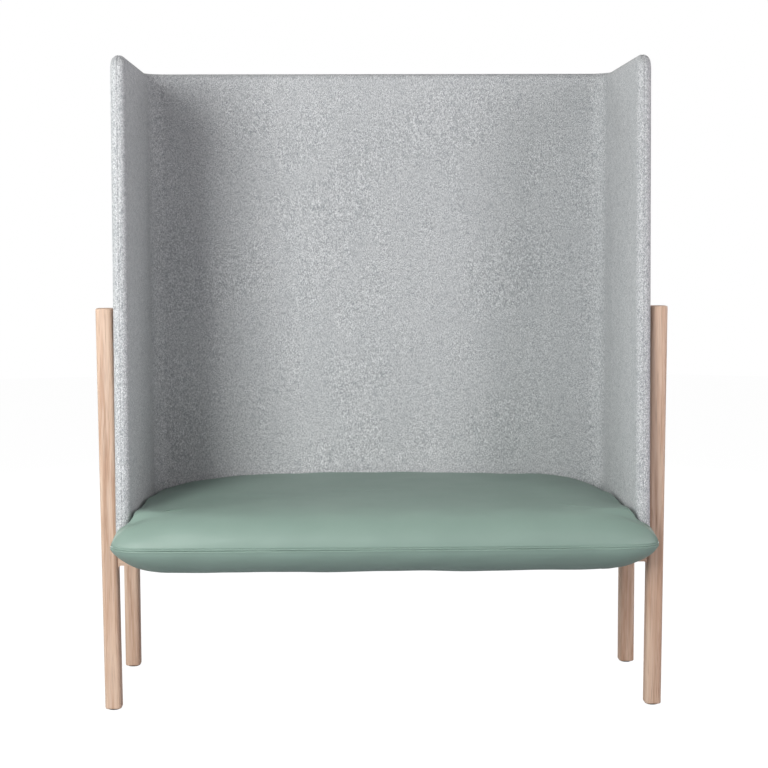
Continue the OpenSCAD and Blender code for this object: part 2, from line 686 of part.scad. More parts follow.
front_left_post();
front_right_post();
rear_left_post();
rear_right_post();
post_glides();
left_side_rail();
right_side_rail();
side_rail_dowels();
front_cross_rail();
rear_cross_rail();
cross_rail_dowels();
cross_rail_bolts();
barrel_nuts();
centre_bearer();
bearer_screws();
seat_board();
seat_bolts();
seat_t_nuts();
seat_foam();
seat_lip_foam();
seat_top_cover();
seat_bottom_cover();
seat_dust_cover();
shell_core();
back_foam();
left_wing_foam();
right_wing_foam();
inner_felt_cover();
outer_felt_cover();
shell_bolts();
shell_sleeves();
shell_t_nuts();
bolt_plugs();
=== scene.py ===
import math

import bmesh
import bpy
import numpy as np
from mathutils import Matrix, Vector


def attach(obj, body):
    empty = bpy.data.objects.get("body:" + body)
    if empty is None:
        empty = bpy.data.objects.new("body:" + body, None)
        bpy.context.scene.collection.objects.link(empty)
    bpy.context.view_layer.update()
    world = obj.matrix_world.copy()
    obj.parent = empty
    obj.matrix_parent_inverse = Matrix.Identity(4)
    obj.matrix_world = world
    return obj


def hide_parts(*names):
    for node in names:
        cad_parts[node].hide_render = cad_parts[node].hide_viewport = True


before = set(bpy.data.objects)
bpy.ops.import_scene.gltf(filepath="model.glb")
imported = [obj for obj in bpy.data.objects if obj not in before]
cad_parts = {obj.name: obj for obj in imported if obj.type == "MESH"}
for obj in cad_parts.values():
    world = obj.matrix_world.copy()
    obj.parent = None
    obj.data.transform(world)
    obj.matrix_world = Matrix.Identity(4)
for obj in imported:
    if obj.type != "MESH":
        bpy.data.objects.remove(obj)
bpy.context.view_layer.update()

# Lengths are in millimetres, x to the right, y to the back and z up. A mesh takes its points in metres
TO_METRES = 0.001

# The shell's top and bottom, its wall, a felt on each side of it, and the groove where the two felts meet
SHELL_TOP, SHELL_FOOT = 1438.0, 363.3
WALL, FELT, FELT_GROOVE = 32.0, 3.0, 1.3
# The wall's middle line in plan: along the back, round a corner, and along the wing
MID_X, MID_Y, MID_R = 568.0, 295.5, 54.0
# The wing's front edge: its foot, its lean, and the rounding of its top corner
WING_FRONT_Y, RAKE, WING_CORNER_R = -227.5, math.radians(2.30056), 36.0

# The seat's edge in plan: the nose, its bow and corners, the notches round the wings' rims, and the rest
NOSE_Y, NOSE_BOW, NOSE_HALF, NOSE_CORNER = -311.5, 6.0, 590.0, (76.0, 52.0)
NOTCH_Y, NOTCH_R = -211.5, 16.5
SEAT_HALF, SEAT_BACK_Y, SEAT_CORNER_R = 551.5, 279.0, 40.0
FLANK_Y = NOSE_Y + NOSE_BOW + NOSE_CORNER[1]
SEAT_MIDDLE = np.array([0.0, (NOSE_Y + SEAT_BACK_Y) / 2])

# The seam between the seat's two leathers, its stitches above it, and the grooves along both
SEAM_Z, STITCH_UP, SEAM_GROOVE, STITCH_GROOVE = 380.1, 4.7, 1.6, 1.25
# How far from the seam the rows of points near it lie
SEAM_ROWS = (0.0, 0.45, 0.9, 1.4, 1.9, 2.5, 3.1, 3.7, 4.2, 4.7, 5.2, 5.8, 6.5, 7.5, 9.0, 11.0, 13.5, 16.8)
# A sag of the seam near the right tip, the stitches, and the nose's longer right tip and gathered corners
SEAM_SAG, SEAM_SAG_X, SEAM_SAG_WIDTH = 3.0, 495.0, 85.0
STITCH_PITCH, STITCH_LENGTH, STITCH_THICK, STITCH_SUNK = 6.2, 4.3, 0.62, 0.28
TIP_OUT, TUCK_X, TUCK_Y, TUCK_PITCH = 5.5, 583.0, -268.0, 2.1

# The crown's rise over the seam, dome, lift at the back, and fall towards the wings, left before right
CROWN_RISE, CROWN_DOME, DOME_Y, DOME_LENGTH, DOME_SIDE_SHARE, BACK_LIFT = 75.0, 12.0, 40.0, 290.0, 0.7, 1.5
WING_FALL, REAR_FALLS, FALL_REACHES = 20.0, (18.0, 20.0), (240.0, 165.0)
# How far in the crown's rounding runs out, the powers of its section, and its gap to the felt
NOSE_REACH, WING_REACH, BACK_REACH = 85.0, 9.0, 22.0
NOSE_POWER, TIP_POWER, WING_POWER, BACK_POWER = 2.15, 1.6, 2.4, 2.8
CREVICE = 1.3
# Where each of these starts and where it is full, across the seat on either side, or along it
NOSE_ALONG, MIDDLE_ALONG, MIDDLE_ACROSS = (-204.0, -256.0), (-40.0, -150.0), (560.0, 430.0)
BACK_ALONG, BACK_ACROSS, TIP_ACROSS = (150.0, 240.0), (500.0, 430.0), (400.0, 550.0)
LIFT_ALONG, FALL_ALONG, REAR_FALL_ALONG = (-200.0, 200.0), (-262.0, -52.0), (20.0, 240.0)
# The crown's columns, and its rows past the seam's: at even steps, and then wider ones to the middle
CROWN_COLUMNS, NEAR_ROWS, ROW_STEP, FAR_ROWS = 920, 46, 3.2, 36

# The lip under the nose and the skirt round the rest: powers of the section at the nose, tips and sides
LIP_DROP, LIP_SIDE_IN, LIP_BACK_Y, LIP_POWERS = 64.0, 78.0, -183.5, (1.7, 1.6, 2.5)
LIP_NOSE_IN, LIP_NOTCH_IN, SKIRT_IN = 100.0, 12.0, 28.0
LIP_COLUMNS, LIP_TURNS, SKIRT_COLUMNS = 360, 20, 300
UNDER_Z, TURN_UNDER, LEATHER = 363.3, 46.0, 1.5

# The cloth under the seat: its thickness, its gap to the hems, its height over them, and its sag
DUST_CLOTH, DUST_GAP, DUST_UP, DUST_SAG, DUST_SAG_SHARE = 0.5, 0.3, 0.75, 0.27, 0.84

# Points nearer than the first are merged, in metres, and differences under the second count as none
MERGE, NUDGE = 2e-6, 1e-6


# Shader maths

class Socket:
    """A shader socket. An expression on it adds the Math nodes that it needs."""

    def __init__(self, nodes, out):
        self.nodes, self.out = nodes, out

    def math(self, operation, other, swapped=False):
        """One Math node of this socket and another value, in their order or swapped."""
        pair = (other, self) if swapped else (self, other)
        return self.nodes.node("ShaderNodeMath", {"operation": operation}, {0: pair[0], 1: pair[1]})

    def __add__(self, other):
        return self.math("ADD", other)

    def __sub__(self, other):
        return self.math("SUBTRACT", other)

    def __rsub__(self, other):
        return self.math("SUBTRACT", other, True)

    def __mul__(self, other):
        return self.math("MULTIPLY", other)

    __radd__, __rmul__ = __add__, __mul__

    def step(self, low, high, to_low=0.0, to_high=1.0):
        """Smoothly from to_low, below low, to to_high, above high."""
        return self.nodes.node(
            "ShaderNodeMapRange", {"interpolation_type": "SMOOTHSTEP"},
            {"Value": self, "From Min": low, "From Max": high, "To Min": to_low, "To Max": to_high})


class Nodes:
    """A tree of shader nodes, emptied and then built up node by node."""

    def __init__(self, owner):
        owner.use_nodes = True
        self.tree = owner.node_tree
        self.tree.nodes.clear()

    def put(self, socket, value):
        """Links a socket to another one, or sets it to a colour or a number."""
        if isinstance(value, Socket):
            self.tree.links.new(value.out, socket)
        elif isinstance(value, tuple) and len(value) == 3 and socket.type == "RGBA":
            socket.default_value = (*value, 1.0)
        else:
            socket.default_value = value

    def node(self, kind, settings=None, inputs=None, output=0):
        """Adds a node: its settings first, then the values or links of its sockets."""
        made = self.tree.nodes.new(kind)
        for name, value in (settings or {}).items():
            setattr(made, name, value)
        for name, value in (inputs or {}).items():
            self.put(made.inputs[name], value)
        return Socket(self, made.outputs[output]) if made.outputs else None

    def ray(self, kind):
        """1 on a ray of this kind, and 0 on any other."""
        return self.node("ShaderNodeLightPath", output="Is %s Ray" % kind)


class Finish(Nodes):
    """A material made of nodes round one Principled shader."""

    def __init__(self, name, **constants):
        self.material = bpy.data.materials.new(name)
        super().__init__(self.material)
        self.shader = self.tree.nodes.new("ShaderNodeBsdfPrincipled")
        self.output = self.tree.nodes.new("ShaderNodeOutputMaterial")
        self.show(Socket(self, self.shader.outputs[0]))
        self.wear(**constants)

    def show(self, surface):
        """Makes a shader the material's surface."""
        self.put(self.output.inputs["Surface"], surface)

    def wear(self, **values):
        """Sets the shader's sockets: numbers that are constant, or what changes over the surface."""
        for name, value in values.items():
            self.put(self.shader.inputs[name.replace("_", " ")], value)
        return self.material

    def place(self, scale=(1.0, 1.0, 1.0)):
        """The piece's own coordinates in metres, stretched."""
        own = self.node("ShaderNodeTexCoord", output="Object")
        return self.node("ShaderNodeMapping", {}, {"Vector": own, "Scale": scale})

    def noise(self, where, scale, detail=2.0, roughness=0.5, distortion=0.0):
        """A noise pattern, with scale waves to the metre."""
        return self.node("ShaderNodeTexNoise", {}, {
            "Vector": where, "Scale": scale, "Detail": detail, "Roughness": roughness,
            "Distortion": distortion})

    def cells(self, where, scale, feature="F1", randomness=1.0):
        """A pattern of cells, with scale of them to the metre."""
        return self.node("ShaderNodeTexVoronoi", {"feature": feature}, {
            "Vector": where, "Scale": scale, "Randomness": randomness})

    def layers(self, where, scale, direction, distortion, detail, detail_scale=1.0):
        """A pattern of waves that follow each other in a direction."""
        return self.node("ShaderNodeTexWave", {"bands_direction": direction}, {
            "Vector": where, "Scale": scale, "Distortion": distortion, "Detail": detail,
            "Detail Scale": detail_scale})

    def mix(self, factor, first, second):
        """Goes from the first colour to the second."""
        return self.node("ShaderNodeMix", {"data_type": "RGBA", "clamp_factor": True}, {
            0: factor, 6: first, 7: second}, output=2)

    def bump(self, height, distance, strength, **under):
        """A normal from a height, at a distance in metres, over another normal if there is one."""
        return self.node("ShaderNodeBump", {}, {
            "Height": height, "Distance": distance, "Strength": strength, **under})


def tone(red, green, blue):
    """A colour as shown on a screen, 0 to 255, made linear."""
    shown = np.array([red, green, blue]) / 255.0
    return tuple(float(v) for v in np.where(
        shown <= 0.04045, shown / 12.92, ((shown + 0.055) / 1.055) ** 2.4))


# Finishes

def oak(name, along):
    """Whitened oak: pores and growth lines run along one axis, with a flame on the flat faces."""
    wood = Finish(name, IOR=1.5)

    def drawn_out(share):
        return wood.place(tuple(share if axis == along else 1.0 for axis in "xyz"))

    lines, boards = drawn_out(0.045), drawn_out(0.25)
    drift = wood.noise(boards, 9.0)
    growth = wood.noise(lines, 62.0, 3.0, 0.55, 0.6)
    streaks = wood.noise(lines, 240.0, 2.0, 0.6)
    pores = wood.noise(drawn_out(0.02), 900.0, 1.0).step(0.57, 0.72)
    colour = wood.mix(growth.step(0.40, 0.62) * 0.72, tone(217, 186, 163), tone(184, 143, 118))
    colour = wood.mix(streaks.step(0.40, 0.70) * 0.42, colour, tone(228, 205, 187))
    colour = wood.mix(drift.step(0.35, 0.7) * 0.34, colour, tone(192, 154, 130))
    colour = wood.mix(pores * 0.40, colour, tone(138, 100, 78))
    relief = wood.bump(growth * 0.5 - pores, 0.00025, 0.55)
    return wood.wear(Base_Color=colour, Roughness=0.50 + streaks * 0.16, Normal=relief)


def melange_felt():
    """Milled wool felt in a grey melange: pale fibres with dark ones scattered through them."""
    felt = Finish(
        "grey_melange_felt", Sheen_Weight=0.35, Sheen_Roughness=0.45, IOR=1.35, Specular_IOR_Level=0.2)
    flecked = felt.place((1.0, 1.0, 0.62))
    fleck = felt.noise(flecked, 640.0, 2.0, 0.6)
    clump = felt.noise(flecked, 300.0, 2.0, 0.55)
    fibre = felt.noise(felt.place((1.0, 1.0, 0.35)), 1400.0, 2.0, 0.7, 0.8)
    cloud = felt.noise(felt.place((1.0, 1.0, 0.25)), 14.0)
    patch = felt.noise(felt.place((0.6, 0.6, 1.0)), 95.0, 2.0, 0.6)
    colour = felt.mix(fleck.step(0.36, 0.64), tone(158, 160, 163), tone(234, 234, 235))
    colour = felt.mix(clump.step(0.32, 0.52, 0.62, 0.0), colour, tone(128, 131, 137))
    colour = felt.mix(fibre.step(0.56, 0.70) * 0.7, colour, tone(250, 250, 249))
    colour = felt.mix(fibre.step(0.30, 0.44, 0.6, 0.0), colour, tone(96, 100, 108))
    colour = felt.mix(patch.step(0.28, 0.50, 0.26, 0.0), colour, tone(124, 130, 138))
    colour = felt.mix(cloud.step(0.3, 0.7) * 0.10, colour, tone(158, 164, 168))
    relief = felt.bump(fleck * 0.6 + fibre * 0.4, 0.0009, 0.5)
    return felt.wear(Base_Color=colour, Roughness=0.93 + fleck * 0.06, Normal=relief)


def sage_leather(name, shade):
    """Smooth sage leather: pigment clouds, a fine pebble grain and the odd stretch line; a shade below 1
    darkens it all as painted shade.
    """
    hide = Finish(name, IOR=1.5, Specular_IOR_Level=0.5)

    # Each colour times shade, which below 1 paints shade on a darker copy of the leather
    def tone_times_painted_shade(*shown):
        return tuple(c * shade for c in tone(*shown))

    skin = hide.place()
    cloud = hide.noise(skin, 7.0, 3.0, 0.55)
    pebble = hide.cells(skin, 1050.0, "DISTANCE_TO_EDGE")
    fine = hide.noise(skin, 1900.0)
    stretch = hide.noise(hide.place((0.35, 1.0, 1.0)), 75.0, 3.0, 0.6, 0.4)
    colour = hide.mix(cloud.step(0.3, 0.7) * 0.5, tone_times_painted_shade(143, 166, 155), tone_times_painted_shade(135, 158, 148))
    colour = hide.mix(pebble.step(0.0, 0.10, 0.16, 0.0), colour, tone_times_painted_shade(108, 130, 120))
    grain = hide.bump(pebble.step(0.0, 0.16) * 0.7 + fine * 0.3, 0.00009, 0.6)
    relief = hide.bump(stretch, 0.0006, 0.25, Normal=grain)
    return hide.wear(Base_Color=colour, Roughness=0.40 + cloud * 0.07 + pebble * 0.05, Normal=relief)


def sage_thread():
    """Twisted sage thread: fine slanting ply lines."""
    thread = Finish("sage_thread", Sheen_Weight=0.2)
    ply = thread.layers(thread.place(), 900.0, "DIAGONAL", 1.0, 1.0)
    colour = thread.mix(ply, tone(112, 136, 126), tone(148, 170, 160))
    relief = thread.bump(ply, 0.0001, 0.6)
    return thread.wear(Base_Color=colour, Roughness=0.55 + ply * 0.2, Normal=relief)


def birch_plywood():
    """Birch plywood: thin veneers, alternately along and across, on the cut edges."""
    birch = Finish("birch_plywood")
    veneers = birch.layers(birch.place(), 105.0, "Z", 0.6, 2.0, 3.0)
    grain = birch.noise(birch.place((0.06, 1.0, 1.0)), 260.0, 3.0, 0.6)
    colour = birch.mix(veneers * 0.5, tone(214, 184, 140), tone(168, 132, 92))
    colour = birch.mix(grain.step(0.4, 0.7) * 0.4, colour, tone(190, 154, 110))
    relief = birch.bump(grain, 0.0002, 0.4)
    return birch.wear(Base_Color=colour, Roughness=0.6 + grain * 0.15, Normal=relief)


def zinc_steel():
    """Zinc-plated steel: a bluish bright coat with fine turning marks and dull spots."""
    steel = Finish("zinc_steel", Metallic=1.0)
    marks = steel.noise(steel.place((1.0, 1.0, 0.08)), 1500.0)
    spots = steel.noise(steel.place(), 160.0, 3.0, 0.6)
    colour = steel.mix(spots.step(0.35, 0.7), tone(196, 200, 206), tone(166, 170, 172))
    relief = steel.bump(marks, 0.00005, 0.4)
    return steel.wear(Base_Color=colour, Roughness=0.24 + spots * 0.22, Normal=relief)


def black_spunbond():
    """Black spunbond cloth: bonded dots in a close grid over loose fibres."""
    cloth = Finish("black_spunbond", Sheen_Weight=0.2)
    dots = cloth.cells(cloth.place((1.0, 1.0, 0.0)), 480.0, "F1", 0.15)
    fibre = cloth.noise(cloth.place(), 1100.0, 3.0, 0.7, 1.0)
    colour = cloth.mix(fibre, tone(26, 26, 28), tone(58, 58, 61))
    relief = cloth.bump(dots.step(0.15, 0.4) + fibre * 0.4, 0.0002, 0.7)
    return cloth.wear(Base_Color=colour, Roughness=0.8 + fibre * 0.15, Normal=relief)


def glide_nylon():
    """Moulded dark nylon with a spark-eroded skin, scuffed where it slides."""
    nylon = Finish("glide_nylon")
    skin = nylon.noise(nylon.place(), 1400.0, 2.0, 0.6)
    scuff = nylon.noise(nylon.place((0.2, 1.0, 1.0)), 300.0, 3.0, 0.6)
    colour = nylon.mix(scuff.step(0.5, 0.8) * 0.5, tone(44, 44, 46), tone(92, 92, 94))
    relief = nylon.bump(skin, 0.0001, 0.5)
    return nylon.wear(Base_Color=colour, Roughness=0.45 + skin * 0.2, Normal=relief)


# Curves and fields

def ramp(value, start, full):
    """0 up to start, 1 from full on, and 3v^2 - 2v^3 between them, where v is the share of the way."""
    v = np.clip((value - start) / (full - start), 0, 1)
    return v * v * (3 - 2 * v)


def bell(distance, middle, width):
    """A bell curve of height 1."""
    return np.exp(-((distance - middle) / width) ** 2)


def swell(seed, count, reach, *places):
    """A smooth random field: the mean of count sine waves, whose wavelengths are near reach."""
    chance = np.random.default_rng(seed)
    field = 0.0
    for _ in range(count):
        turns = chance.normal(size=len(places)) * 2 * np.pi / reach
        field = field + np.sin(sum(t * p for t, p in zip(turns, places)) + chance.uniform(0, 2 * np.pi))
    return field / math.sqrt(count)


def arc(cx, cy, rx, ry, first, last, count=40):
    """Points of an ellipse's arc between two angles in degrees."""
    a = np.radians(np.linspace(first, last, count))
    return np.stack([cx + rx * np.cos(a), cy + ry * np.sin(a)], axis=-1)


def evenly(line, count):
    """Points at even steps along a line."""
    along = np.concatenate([[0.0], np.cumsum(np.linalg.norm(np.diff(line, axis=0), axis=1))])
    at = np.linspace(0, along[-1], count)
    return np.stack([np.interp(at, along, line[:, i]) for i in range(line.shape[1])], axis=-1)


def mirrored(line):
    """A line on the right side, continued from its mirror image on the left."""
    left = line[::-1] * np.array([-1.0, 1.0])
    return np.concatenate([left[:-1], line])


# Meshes from grids of points

def grid_faces(rows, columns, start, closed):
    """Quads of a grid whose rows follow each other. A closed one's last column joins its first."""
    last = columns if closed else columns - 1
    r, c = np.meshgrid(np.arange(rows - 1), np.arange(last), indexing="ij")
    n = (c + 1) % columns
    corners = [r * columns + c, r * columns + n, (r + 1) * columns + n, (r + 1) * columns + c]
    return np.stack(corners, axis=-1).reshape(-1, 4) + start


def mesh_piece(name, points, faces, finish):
    """Links a new object with one material, whose mesh has these points and faces."""
    mesh = bpy.data.meshes.new(name)
    mesh.from_pydata((points * TO_METRES).tolist(), [], faces)
    mesh.materials.append(finish)
    piece = bpy.data.objects.new(name, mesh)
    bpy.context.scene.collection.objects.link(piece)
    return piece


def face_outwards(mesh, inside=None):
    """Makes the faces smooth and turns them all to one side, away from a point inside if there is one.

    With such a point, doubles are merged first. The faces point away from it when the sum of
    (centre - inside) . normal over all of them, by area, is above 0.
    """
    made = bmesh.new()
    made.from_mesh(mesh)
    if inside:
        bmesh.ops.remove_doubles(made, verts=made.verts, dist=MERGE)
        bmesh.ops.dissolve_degenerate(made, dist=NUDGE, edges=made.edges)
    bmesh.ops.recalc_face_normals(made, faces=made.faces)
    if inside:
        away = [(f.calc_center_median() - Vector(inside)).dot(f.normal) for f in made.faces]
        if sum(way * f.calc_area() for way, f in zip(away, made.faces)) < 0:
            bmesh.ops.reverse_faces(made, faces=made.faces)
    made.to_mesh(mesh)
    made.free()
    mesh.polygons.foreach_set("use_smooth", np.ones(len(mesh.polygons), bool))


def piece_from(name, grids, finish, inside, thickness=0.0):
    """One piece from grids of points, each with whether its columns close.

    Its faces point away from a point inside, in metres, and its wall, if it has one, goes inwards.
    """
    points, faces, start = [], [], 0
    for grid, closed in grids:
        rows, columns = grid.shape[:2]
        points.append(grid.reshape(-1, 3))
        faces.append(grid_faces(rows, columns, start, closed))
        start += rows * columns
    piece = mesh_piece(name, np.concatenate(points), np.concatenate(faces).tolist(), finish)
    face_outwards(piece.data, inside)
    if thickness:
        wall = piece.modifiers.new("wall", "SOLIDIFY")
        wall.thickness, wall.offset = thickness * TO_METRES, -1.0
    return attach(piece, "root")


def along_normals(grid, amount, closed):
    """Moves each point of a grid along the surface's normal, the cross product of its two directions."""
    if closed:
        wide = np.concatenate([grid[:, -1:], grid, grid[:, :1]], axis=1)
        across = (wide[:, 2:] - wide[:, :-2]) / 2
    else:
        across = np.gradient(grid, axis=1)
    normal = np.cross(across, np.gradient(grid, axis=0))
    size = np.linalg.norm(normal, axis=-1, keepdims=True)
    return grid + np.asarray(amount)[..., None] * normal / np.maximum(size, 1e-9)


def eased(grid, held, passes):
    """Softens each column's bends: a point goes halfway to the middle of its neighbours, pass by pass.

    Where held is 1 the point stays in its place.
    """
    free = (1 - held)[1:-1, :, None]
    for _ in range(passes):
        grid[1:-1] += 0.5 * free * ((grid[:-2] + grid[2:]) / 2 - grid[1:-1])
    return grid


def spaced(grid, at):
    """Moves the points of each column to given distances along it, and no further than its end.

    The columns are laid end to end, so that one interpolation serves them all.
    """
    steps = np.linalg.norm(np.diff(grid, axis=0), axis=-1)
    along = np.concatenate([np.zeros((1, grid.shape[1])), np.cumsum(steps, axis=0)])
    shift = 10.0 * along[-1].max() * np.arange(grid.shape[1])
    have, want = (along + shift).T.ravel(), (np.minimum(at, along[-1]) + shift).T.ravel()
    moved = [np.interp(want, have, grid[..., i].T.ravel()).reshape(grid.shape[1], -1).T for i in range(3)]
    return np.stack(moved, axis=-1)


# The seat's edge and seam

def seat_half_outline():
    """The seat's edge in plan from the middle of the nose round the right side to the middle of the back.

    A parabola's bow, a quarter ellipse, a flare in towards the wing, an arc round the wing's rim,
    the straight side, and a quarter circle at the back.
    """
    flat = NOSE_HALF - NOSE_CORNER[0]
    x = np.linspace(0, flat, 120)
    bow = np.stack([x, NOSE_Y + NOSE_BOW * (x / flat) ** 2], axis=-1)
    back_corner = SEAT_HALF - SEAT_CORNER_R, SEAT_BACK_Y - SEAT_CORNER_R
    return np.concatenate([
        bow,
        arc(flat, FLANK_Y, *NOSE_CORNER, -90, 0),
        arc(MID_X, FLANK_Y, NOSE_HALF - MID_X, NOTCH_Y - NOTCH_R - FLANK_Y, 0, 90),
        arc(MID_X, NOTCH_Y, NOTCH_R, NOTCH_R, 270, 180),
        np.array([[SEAT_HALF, NOTCH_Y], [SEAT_HALF, back_corner[1]]]),
        arc(*back_corner, SEAT_CORNER_R, SEAT_CORNER_R, 0, 90),
        np.array([[back_corner[0], SEAT_BACK_Y], [0.0, SEAT_BACK_Y]])])


def seam_wander(x, y):
    """How far the seam strays up and down, as it does on sewn leather, with a sag near the right tip."""
    sag = SEAM_SAG * bell(x, SEAM_SAG_X, SEAM_SAG_WIDTH)
    return 0.9 * swell(41, 7, 430.0, x, y) + 0.3 * swell(42, 7, 150.0, x, y) - sag


def right_tip(grid):
    """Draws the nose's right tip outwards a little, as the sewn one is."""
    x, y, z = np.moveaxis(grid, -1, 0)
    return np.stack([x + TIP_OUT * ramp(x, 520.0, 586.0) * ramp(y, -222.0, -250.0), y, z], axis=-1)


def tip_tucks(grid, depth, phase):
    """Short tucks that fan out from the seam at the nose's two corners, where the leather is gathered.

    A sine across the fan, times bells round the corner and exp(-d / 9) at a distance d from the seam.
    """
    x, y, z = np.moveaxis(grid, -1, 0)
    from_seam = np.abs(z - SEAM_Z)
    near = bell(np.abs(x), TUCK_X, 13.0) * bell(y, TUCK_Y, 22.0) * np.exp(-from_seam / 9.0)
    return depth * near * np.sin((y * 0.9 + np.sign(x) * from_seam * 0.35) / TUCK_PITCH + phase)


def rounding_ends(edge, nose_in, notch_in, side_in, rear_side_in, back_in):
    """Where a rounding has run out, for each point of the seat's edge: so far in at each of its parts."""
    x, y = edge[:, 0], edge[:, 1]
    back = (y - NOTCH_Y) / (SEAT_BACK_Y - NOTCH_Y)
    fore = (y - NOSE_Y) / (NOTCH_Y - NOSE_Y)
    width = SEAT_HALF - (side_in + (rear_side_in - side_in) * np.maximum(back, 0))
    beside = np.sign(x) * np.minimum(np.abs(x) * width / SEAT_HALF, width)
    nose, notch = NOSE_Y + nose_in, NOTCH_Y + notch_in
    behind = notch + (SEAT_BACK_Y - back_in - notch) * back
    return np.stack([
        np.where(y > FLANK_Y, beside, x * width / NOSE_HALF),
        np.where(back > 0, behind, nose + (notch - nose) * fore)], axis=-1)


# The seat's upper leather

def inside_by(x, y):
    """How far points of the plan lie inside the seat's edge.

    With a the least distance to the nose's edge and b that to the flares, sides and back, it is
    ab / (a^4 + b^4)^(1/4): nearly the lesser one, but with no fold where they are alike.
    """
    line = seat_half_outline()
    line = line[np.concatenate([[True], np.linalg.norm(np.diff(line, axis=0), axis=1) > NUDGE])]
    x, least = np.abs(x), [np.full(np.shape(x), np.inf), np.full(np.shape(x), np.inf)]
    for (ax, ay), (dx, dy) in zip(line[:-1], np.diff(line, axis=0)):
        share = np.clip(((x - ax) * dx + (y - ay) * dy) / (dx * dx + dy * dy), 0, 1)
        past_nose = int(ay > FLANK_Y - NUDGE)
        distance = (x - ax - share * dx) ** 2 + (y - ay - share * dy) ** 2
        least[past_nose] = np.minimum(least[past_nose], distance)
    a, b = np.sqrt(least)
    return a * b / (a ** 4 + b ** 4 + 1e-9) ** 0.25


def crown_height(x, y):
    """The crown's height over the seam at points of the plan.

    A full height, domed as a parabola, lifted at the back and lower towards the wings, times a rounding
    (1 - (1 - t)^p)^(1/p), where t is the distance inside the edge over the rounding's reach, d, softened
    to d / (1 + d^3)^(1/3) so that no line shows where the rounding runs out. Reach and power go from the
    wings' to the nose's and the back's.
    """
    across = np.abs(x)
    middle = ramp(across, *MIDDLE_ACROSS) * ramp(y, *MIDDLE_ALONG)
    fore = 1 - (1 - ramp(y, *NOSE_ALONG)) * (1 - middle)
    rear = ramp(y, *BACK_ALONG) * ramp(across, *BACK_ACROSS)
    reach = WING_REACH * (BACK_REACH / WING_REACH) ** rear * (NOSE_REACH / WING_REACH) ** fore
    front_power = NOSE_POWER + (TIP_POWER - NOSE_POWER) * ramp(across, *TIP_ACROSS)
    power = WING_POWER + (front_power - WING_POWER) * fore + (BACK_POWER - WING_POWER) * rear
    t = inside_by(x, y) / reach
    t = t / (1 + t ** 3) ** (1 / 3)
    dome = CROWN_DOME * (1 - DOME_SIDE_SHARE * ramp(across, 0.0, 560.0))
    dome = dome * (1 - (np.maximum(DOME_Y - y, 0) / DOME_LENGTH) ** 2)
    lift = BACK_LIFT * ramp(y, *LIFT_ALONG)
    fall = WING_FALL + np.where(x < 0, *REAR_FALLS) * ramp(y, *REAR_FALL_ALONG)
    near_wing = np.clip(1 - (SEAT_HALF - across) / np.where(x < 0, *FALL_REACHES), 0, 1) ** 2
    full = CROWN_RISE + dome + lift - fall * ramp(y, *FALL_ALONG) * near_wing
    return full * (1 - (1 - t) ** power) ** (1 / power)


def crown_columns(edge, at):
    """Columns of the crown from the seam at points of the edge to the middle, at distances along each.

    In plan a column runs straight to where the rounding has run out and then to the seat's middle. Over
    the seam it keeps a crevice's width clear of the wings and the back.
    """
    ends = rounding_ends(edge, NOSE_REACH, -5.0, 110.0, 150.0, 60.0)
    to_ends = (np.linspace(0, 1, 110) ** 3.2)[:, None, None]
    to_middle = np.linspace(0, 1, 50)[1:, None, None]
    way = np.concatenate([edge + (ends - edge) * to_ends, ends + (SEAT_MIDDLE - ends) * to_middle])
    height = crown_height(way[..., 0], way[..., 1])
    height[0] = 0.0
    inwards = (ends - edge) / np.linalg.norm(ends - edge, axis=1, keepdims=True)
    clear = CREVICE * ramp(height, 0.0, 10.0) * ramp(edge[:, 1], -262.0, -212.0)
    way = way + inwards * (clear * np.exp(-np.linalg.norm(way - way[0], axis=-1) / 30.0))[..., None]
    z = SEAM_Z + height + seam_wander(edge[:, 0], edge[:, 1]) * np.exp(-height / 22.0)
    return right_tip(spaced(np.concatenate([way, z[..., None]], axis=-1), at))


